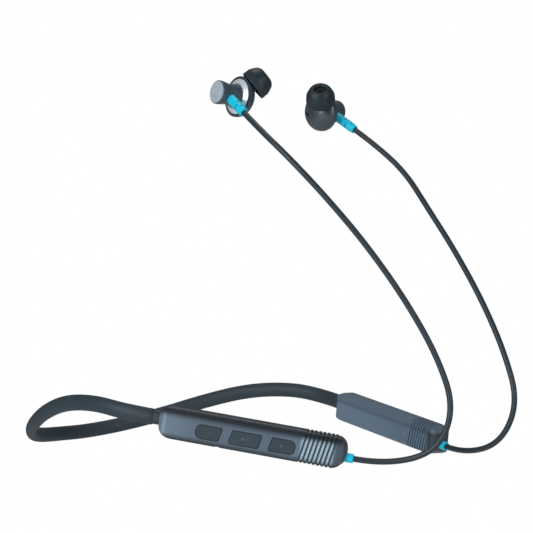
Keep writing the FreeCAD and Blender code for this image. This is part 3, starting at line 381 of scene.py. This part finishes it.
flap_rubber = surface("flap_rubber", shade(BAND_SLATE, 1.1), 0.6)
wire_cover = surface("wire_cover", (0.02, 0.02, 0.022), 0.6)
ring_metal = surface("ring_metal", (0.78, 0.83, 0.88), 0.25, metal=0.8)
mesh_steel = woven_mesh("mesh_steel")
board_green = circuit("solder_mask")
# Both pods are the same slate plastic, and each one's colours hold the light and shade painted for
# its side. The right pod has near-black edges as painted shade, pale ribs as painted highlight and
# a face paler near the band and before the ribs as painted light; the left pod is nearly even,
# with painted shade at the foot of its top rounding and at its tip.
pods = {
    "right": pod_paint(
        "right", rim=(0.008, 0.014, 0.020), crease_shade=0.85,
        rib_highlight=(0.300, 0.400, 0.480), groove_shade=(0.045, 0.064, 0.084),
        face=[(0.02, (0.112, 0.160, 0.212)), (0.22, (0.070, 0.104, 0.142)),
              (0.60, (0.072, 0.106, 0.146)), (0.80, (0.100, 0.145, 0.195)),
              (0.99, (0.040, 0.058, 0.078))]),
    "left": pod_paint(
        "left", rim=(0.092, 0.130, 0.172), crease_shade=0.66,
        rib_highlight=(0.112, 0.162, 0.220), groove_shade=(0.092, 0.134, 0.182),
        face=[(0.02, (0.118, 0.172, 0.232)), (0.50, (0.110, 0.160, 0.222)),
              (0.88, (0.090, 0.132, 0.184)), (0.96, (0.020, 0.030, 0.042))]),
}
cap_metal = {side: ringed_metal(f"cap_metal_{side}", (0.46, 0.53, 0.59), bud_frame(side),
                                rough=0.42, metal=0.35) for side in SIDES}
trim_metal = {side: ringed_metal(f"trim_metal_{side}", (0.74, 0.82, 0.90), bud_frame(side),
                                 rough=0.32, metal=0.45) for side in SIDES}

CAD_FINISH = {
    "control_outer_shell": pods["right"], "control_inner_shell": pods["right"],
    "battery_inner_shell": pods["left"], "battery_outer_shell": pods["left"],
    "volume_down_key": key_plastic, "play_key": key_plastic, "volume_up_key": key_plastic,
    "control_board": board_green, "battery_board": board_green, "key_switches": steel,
    "board_chips": resin, "usb_port": steel, "usb_flap": flap_rubber,
    "control_band_anchor": anchor_plastic, "battery_band_anchor": anchor_plastic,
    "control_cable_ring": bright_plastic, "battery_cable_ring": bright_plastic,
    "control_screws": steel, "battery_screws": steel, "battery_cell": foil,
    "status_light": window, "status_lamp": resin, "microphone": steel,
}
for side in SIDES:
    CAD_FINISH.update({
        f"{side}_end_cap": cap_metal[side], f"{side}_barrel": barrel_plastic,
        f"{side}_trim_ring": trim_metal[side], f"{side}_bowl": bud_plastic,
        f"{side}_vent_screen": mesh_steel, f"{side}_nozzle_mesh": mesh_steel,
        f"{side}_driver_frame": resin, f"{side}_driver_magnet": steel,
        f"{side}_diaphragm": film, f"{side}_strain_relief": bright_plastic,
    })


def paint(piece, finish):
    piece.data.materials.clear()
    piece.data.materials.append(finish)


for name, finish in CAD_FINISH.items():
    paint(frame["nodes"][name], finish)


# ---- shape helpers ---------------------------------------------------------------------------

LATHE_STEPS = 96
WELD_DISTANCE = 1e-7


def link(name, data):
    piece = bpy.data.objects.new(name, data)
    bpy.context.scene.collection.objects.link(piece)
    return piece


def mesh_piece(name, points, faces, finish, smooth=True):
    data = bpy.data.meshes.new(name)
    data.from_pydata([tuple(p) for p in points], [], faces)
    data.update()
    data.validate()
    data.polygons.foreach_set("use_smooth", [smooth] * len(data.polygons))
    piece = link(name, data)
    paint(piece, finish)
    return piece


def face_outward(piece, weld=False):
    """Turns every face of a closed mesh outward, after joining its doubled points if asked."""
    work = bmesh.new()
    work.from_mesh(piece.data)
    if weld:
        bmesh.ops.remove_doubles(work, verts=work.verts, dist=WELD_DISTANCE)
    bmesh.ops.recalc_face_normals(work, faces=work.faces)
    work.to_mesh(piece.data)
    work.free()


def middle_of(spots, axis):
    """Halfway between the lowest and highest of some points along one axis."""
    places = [p[axis] for p in spots]
    return (min(places) + max(places)) / 2


def rounded(corners, steps=8):
    """An outline of (x, radius, rounding) corners as points, with its roundings as arcs."""
    outline = []
    for i, corner in enumerate(corners):
        spot = Vector(corner[:2])
        radius = corner[2] if len(corner) > 2 else 0.0
        if not radius:
            outline.append(spot)
            continue
        back = (Vector(corners[i - 1][:2]) - spot).normalized()
        ahead = (Vector(corners[(i + 1) % len(corners)][:2]) - spot).normalized()
        half_turn = (math.pi - back.angle(ahead)) / 2
        reach = radius * math.tan(half_turn)
        centre = spot + (back + ahead).normalized() * (radius / math.cos(half_turn))
        start = spot + back * reach - centre
        sweep = start.angle_signed(spot + ahead * reach - centre)
        for step in range(steps + 1):
            outline.append(centre + Matrix.Rotation(-sweep * step / steps, 2) @ start)
    return outline


def lathe(name, corners, matrix, finish):
    """A closed outline of (x, radius, rounding) in millimetres, turned round a frame's X axis."""
    outline = [p * MM for p in rounded(corners)]
    points, faces = [], []
    count = len(outline)
    for k in range(LATHE_STEPS):
        angle = 2 * math.pi * k / LATHE_STEPS
        for p in outline:
            points.append(matrix @ Vector((p[0], p[1] * math.cos(angle), p[1] * math.sin(angle))))
        for i in range(count):
            j, after = (i + 1) % count, (k + 1) % LATHE_STEPS
            faces.append((k * count + i, k * count + j, after * count + j, after * count + i))
    piece = mesh_piece(name, points, faces, finish)
    face_outward(piece, weld=True)
    piece.data.set_sharp_from_angle(angle=math.radians(38))
    return piece


def nurbs(name, points, depth=0.0):
    """A smooth curve whose control points are a route's own points, with a depth if it is seen."""
    data = bpy.data.curves.new(name, "CURVE")
    data.dimensions = "3D"
    data.resolution_u = 24
    spline = data.splines.new("NURBS")
    spline.points.add(len(points) - 1)
    for point, spot in zip(spline.points, points):
        point.co = (*spot, 1.0)
    spline.order_u = 3
    spline.use_endpoint_u = True
    data.bevel_depth = depth
    data.bevel_resolution = 8
    data.use_fill_caps = depth > 0
    return link(name, data)


def line_through(name, points):
    """The points of a bare curve along a route, evenly spaced as it is drawn."""
    curve = nurbs(name, points)
    data = bpy.data.meshes.new_from_object(curve)
    line = [v.co.copy() for v in data.vertices]
    bpy.data.meshes.remove(data)
    bpy.data.objects.remove(curve)
    return line


# ---- neckband --------------------------------------------------------------------------------

BAND_AROUND = 40
NOSE_LENGTH = 0.8 * MM
NOSE_NARROWING = 0.16


def band_points(setback, raise_by):
    """Control points of a line through the band, from the right pod round to the left one."""
    lift = Vector((0, 0, raise_by))
    halves = {}
    for side in SIDES:
        local = pod_frame(side)
        end = local @ Vector((setback, 0, COLLAR_RAISE)) + lift
        lead = local @ Vector((-COLLAR_LENGTH - BAND_LEAD, 0, COLLAR_RAISE)) + lift
        halves[side] = [end, lead] + [mirrored(spot, side) + lift for spot in BAND_SIDE]
    return halves["right"] + [Vector(BAND_MIDDLE) + lift] + halves["left"][::-1]


def half_path(line, side):
    """One side's part of a line through the band, from the middle of the neck to its pod."""
    toward = [p for p in line if p.y * out_sign(side) > 1e-6]
    if side == "right":
        toward = toward[::-1]
    return [Vector((min(p.x for p in line), 0.0, toward[0].z))] + toward


def tube_points(path, side, tall, wide, nose):
    """Rings of an oval tube along a path, which narrows over its last stretch if it has a nose."""
    points = []
    total = sum((b - a).length for a, b in zip(path, path[1:]))
    gone = 0.0
    for i, spot in enumerate(path):
        before, after = path[max(i - 1, 0)], path[min(i + 1, len(path) - 1)]
        forward = Vector((0, out_sign(side), 0)) if i == 0 else (after - before).normalized()
        if i:
            gone += (spot - before).length
        left = total - gone
        share = 1.0
        if nose and left < nose:
            share -= NOSE_NARROWING * (1 - math.sqrt(max(0.0, 1 - (1 - left / nose) ** 2)))
        flat = UP.cross(forward).normalized()
        up = forward.cross(flat)
        for k in range(BAND_AROUND):
            angle = 2 * math.pi * k / BAND_AROUND
            points.append(spot + up * (math.cos(angle) * tall / 2 * share)
                          + flat * (math.sin(angle) * wide / 2 * share))
    return points


def band_half(name, line, side, tall, wide, finish, nose):
    """Half of a tube that runs along the band, from the middle of the neck to one pod."""
    path = half_path(line, side)
    last = (len(path) - 1) * BAND_AROUND
    faces = []
    for first in range(0, last, BAND_AROUND):
        for k in range(BAND_AROUND):
            after = (k + 1) % BAND_AROUND
            faces.append((first + k, first + after,
                          first + BAND_AROUND + after, first + BAND_AROUND + k))
    faces.append(tuple(range(BAND_AROUND - 1, -1, -1)))
    faces.append(tuple(range(last, last + BAND_AROUND)))
    piece = mesh_piece(name, tube_points(path, side, tall, wide, nose), faces, finish)
    face_outward(piece)
    piece.data.set_sharp_from_angle(angle=math.radians(50))
    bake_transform(piece)
    return piece


def neckband():
    """The sleeve and the two wires in it, each in two halves, one for each side of the neck."""
    # node, where it starts in the pod, height above the band's middle, size, finish, slot, nose
    parts = (
        ("band_sleeve", -COLLAR_LENGTH, 0.0, (BAND_HEIGHT, BAND_WIDTH),
         silicone, "band_silicone", NOSE_LENGTH),
        ("band_core_wire", CORE_WIRE_REACH, WIRE_SPREAD, (CORE_WIRE_SIZE, CORE_WIRE_SIZE),
         steel, "spring_steel", 0.0),
        ("band_harness", HARNESS_REACH, -WIRE_SPREAD, (HARNESS_SIZE, HARNESS_SIZE),
         wire_cover, "wire_cover", 0.0),
    )
    for node, setback, raise_by, size, finish, slot, nose in parts:
        line = line_through(f"{node}_line", band_points(setback, raise_by))
        for side in SIDES:
            piece = band_half(f"{node}_{side}", line, side, *size, finish, nose)
            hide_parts(node)


# ---- cables and soft tips --------------------------------------------------------------------

def cable(side):
    """A limp lead from the ring at a pod's tip to the strain relief of the earbud above it."""
    pod, bud, out = pod_frame(side), bud_frame(side), out_sign(side)
    face = POD_LENGTH + RING_LENGTH
    route = [pod @ Vector((x, 0, -RING_DROP)) for x in (face, face + CABLE_LEAD)]
    route += [Vector(spot) for spot in CABLE_SIDE[side]]
    route += [bud @ Vector((RELIEF_PLACE, out * y, 0))
              for y in (RELIEF_REACH + RELIEF_LEAD, RELIEF_REACH)]
    piece = nurbs(f"{side}_lead", route, CABLE_SIZE / 2)
    paint(piece, cable_skin)
    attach(piece, ARM[side])
    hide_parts(f"{side}_cable")


def ear_tip(side):
    """A silicone tip: a core tube whose mouth rolls over into a thin domed skirt."""
    outline = [
        (8.2, 2.5, 0.15), (8.2, 3.4, 0.2), (12.2, 3.4, 0.5), (12.3, 4.3, 0.5), (10.2, 5.45, 2.0),
        (7.0, 5.85, 0.2), (7.0, 6.5, 0.3), (10.4, 6.35, 3.4), (13.4, 4.95, 2.2),
        (14.6, 3.1, 0.45), (13.7, 2.65, 0.3), (13.0, 2.5, 0.2),
    ]
    piece = lathe(f"{side}_soft_tip", outline, nozzle_frame(side), tip_silicone)
    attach(piece, f"{side}_ear_tip")
    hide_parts(f"{side}_ear_tip")


# ---- details on the caps, the light and the keys, in millimetres -----------------------------

CAP_RING_RADII = (1.75, 2.15)
CAP_RING_PROUD = 0.08
CAP_RING_SUNK = 0.1
MARK_PROUD = 0.05
MARK_SUNK = 0.02
KEY_FACE_DEPTH = 0.2
SIGN_REACH = 1.0
SIGN_STROKE = 0.18
SIGN_SHIFT = 0.3
PAUSE_BAR = (0.16, 0.85)


def cap_ring(side):
    """A plain raised ring on an earbud's end cap."""
    back = bud_frame(side).inverted()
    face = min((back @ v.co).x for v in frame["nodes"][f"{side}_end_cap"].data.vertices) / MM
    inner, outer = CAP_RING_RADII
    crown, seat = face - CAP_RING_PROUD, face + CAP_RING_SUNK
    outline = [(crown, inner, 0.03), (crown, outer, 0.03), (seat, outer), (seat, inner)]
    piece = lathe(f"{side}_cap_ring", outline, bud_frame(side), ring_metal)
    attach(piece, ARM[side])


def light_rim():
    """A low round rim moulded round the status light."""
    local = pod_frame("left")
    back = local.inverted()
    lens = [back @ v.co for v in frame["nodes"]["status_light"].data.vertices]
    spot = local @ Vector((middle_of(lens, 0), -POD_THICKNESS / 2, middle_of(lens, 2)))
    facing = frame_of(spot, -local.to_3x3().col[1], UP)
    outline = [(-0.03, 0.95), (0.02, 1.0, 0.05), (0.16, 1.16, 0.08), (0.10, 1.45, 0.12),
               (-0.03, 1.6)]
    piece = lathe("light_rim", outline, facing, pods["left"])
    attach(piece, "battery_arm")


def raised_mark(name, key, corners, shift=0.0, rounding=0.12):
    """A thin raised shape on a key's face: corners are (x, z) from the face's middle."""
    local = pod_frame("right")
    back = local.inverted()
    spots = [back @ v.co for v in frame["nodes"][key].data.vertices]
    face = min(p.y for p in spots)
    flat = [p for p in spots if p.y < face + KEY_FACE_DEPTH * MM]
    middle_x = middle_of(flat, 0) + shift * MM
    middle_z = middle_of(flat, 2)
    outline = rounded([(x, z, rounding) for x, z in corners], 3)
    points = [local @ Vector((middle_x + p[0] * MM, y, middle_z + p[1] * MM))
              for y in (face - MARK_PROUD * MM, face + MARK_SUNK * MM) for p in outline]
    count = len(outline)
    faces = [tuple(range(count)), tuple(range(2 * count - 1, count - 1, -1))]
    faces += [(k, k + count, (k + 1) % count + count, (k + 1) % count) for k in range(count)]
    piece = mesh_piece(name, points, faces, symbol_ink, False)
    face_outward(piece)
    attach(piece, key)


def bar(half_x, half_z):
    return [(-half_x, -half_z), (half_x, -half_z), (half_x, half_z), (-half_x, half_z)]


def cross(reach, half):
    """A plus sign's outline: three corners of one arm, turned by a quarter four times."""
    outline, arm = [], [(-reach, -half), (-half, -half), (-half, -reach)]
    for _ in range(4):
        outline += arm
        arm = [(-z, x) for x, z in arm]
    return outline


def key_marks():
    raised_mark("minus_mark", "volume_down_key", bar(SIGN_REACH, SIGN_STROKE), SIGN_SHIFT)
    raised_mark("plus_mark", "volume_up_key", cross(SIGN_REACH, SIGN_STROKE), -SIGN_SHIFT, 0.05)
    raised_mark("play_mark", "play_key", [(-0.7, -0.9), (0.9, 0.0), (-0.7, 0.9)], -0.7)
    raised_mark("pause_mark_a", "play_key", bar(*PAUSE_BAR), 0.7)
    raised_mark("pause_mark_b", "play_key", bar(*PAUSE_BAR), 1.35)


neckband()
key_marks()
light_rim()
for side in SIDES:
    cable(side)
    ear_tip(side)
    cap_ring(side)

# ---- stage, light and camera -----------------------------------------------------------------

FLOOR_DROP = 0.30
FLOOR_SIZE = 1.9
FLOOR_CENTRE_X = 0.1
FLOOR_SIDES = 72

# The world is plain white where it is seen, and a dim cool grey as a light.
BACKDROP = ((1, 1, 1), 1.0)
ROOM = ((0.90, 0.95, 1.0), 0.22)

LIT_SPOT = Vector((0.11, 0.0, 0.06))
COOL_WHITE = (0.94, 0.98, 1.0)
# name, where it stands, its width and height, power, colour
LIGHTS = (
    ("front_light", (-0.15, -1.30, 0.35), (0.7, 0.9), 14.0, COOL_WHITE),
    ("side_light", (1.25, -0.35, 0.30), (0.4, 0.9), 5.0, COOL_WHITE),
    ("top_light", (0.0, 0.2, 1.3), (0.6, 0.6), 3.5, (1, 1, 1)),
)

EYE = (0.5576, -0.6886, 0.05605)
VIEW_DIRECTION = Vector((-0.5437, 0.8389, 0.0232))
CAMERA_ROLL = math.radians(0.21)
SENSOR_MM = 36.0
LENS_MM = 129.3
NEAR_CLIP = 0.01


def stage():
    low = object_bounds()[0]
    ring = []
    for k in range(FLOOR_SIDES):
        angle = 2 * math.pi * k / FLOOR_SIDES
        ring.append((FLOOR_CENTRE_X + FLOOR_SIZE * math.cos(angle),
                     FLOOR_SIZE * math.sin(angle), low.z - FLOOR_DROP))
    paper = surface("floor_paper", (0.93, 0.93, 0.93), 0.9, grain=400.0, patch_share=0.01)
    mesh_piece("floor", ring, [tuple(range(FLOOR_SIDES))], paper)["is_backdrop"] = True


def area_light(name, spot, size, power, colour):
    data = bpy.data.lights.new(name, "AREA")
    data.shape = "RECTANGLE"
    data.size, data.size_y = size
    data.energy = power
    data.color = colour
    lamp = link(name, data)
    lamp.location = spot
    lamp.rotation_euler = (LIT_SPOT - Vector(spot)).to_track_quat("-Z", "Y").to_euler()


def world():
    made = bpy.data.worlds.new("studio")
    bpy.context.scene.world = made
    made.use_nodes = True
    nodes, links = made.node_tree.nodes, made.node_tree.links
    backdrop, room = nodes["Background"], nodes.new("ShaderNodeBackground")
    for node, (colour, strength) in ((backdrop, BACKDROP), (room, ROOM)):
        node.inputs["Color"].default_value = opaque(colour)
        node.inputs["Strength"].default_value = strength
    seen = nodes.new("ShaderNodeLightPath")
    choose = nodes.new("ShaderNodeMixShader")
    links.new(seen.outputs["Is Camera Ray"], choose.inputs["Fac"])
    links.new(room.outputs[0], choose.inputs[1])
    links.new(backdrop.outputs[0], choose.inputs[2])
    links.new(choose.outputs[0], nodes["World Output"].inputs["Surface"])


def camera():
    data = bpy.data.cameras.new("camera")
    eye = link("camera", data)
    eye.location = EYE
    forward = VIEW_DIRECTION.normalized()
    right = forward.cross(UP).normalized()
    up = right.cross(forward)
    roll = Matrix.Rotation(CAMERA_ROLL, 3, forward)
    right, up = roll @ right, roll @ up
    eye.rotation_mode = "QUATERNION"
    eye.rotation_quaternion = Matrix((right, up, -forward)).transposed().to_quaternion()
    data.sensor_width = SENSOR_MM
    data.lens = LENS_MM
    data.clip_start = NEAR_CLIP
    bpy.context.scene.camera = eye


stage()
world()
for light in LIGHTS:
    area_light(*light)
camera()

look = bpy.context.scene.view_settings
look.view_transform = "Standard"
look.exposure = 0.0
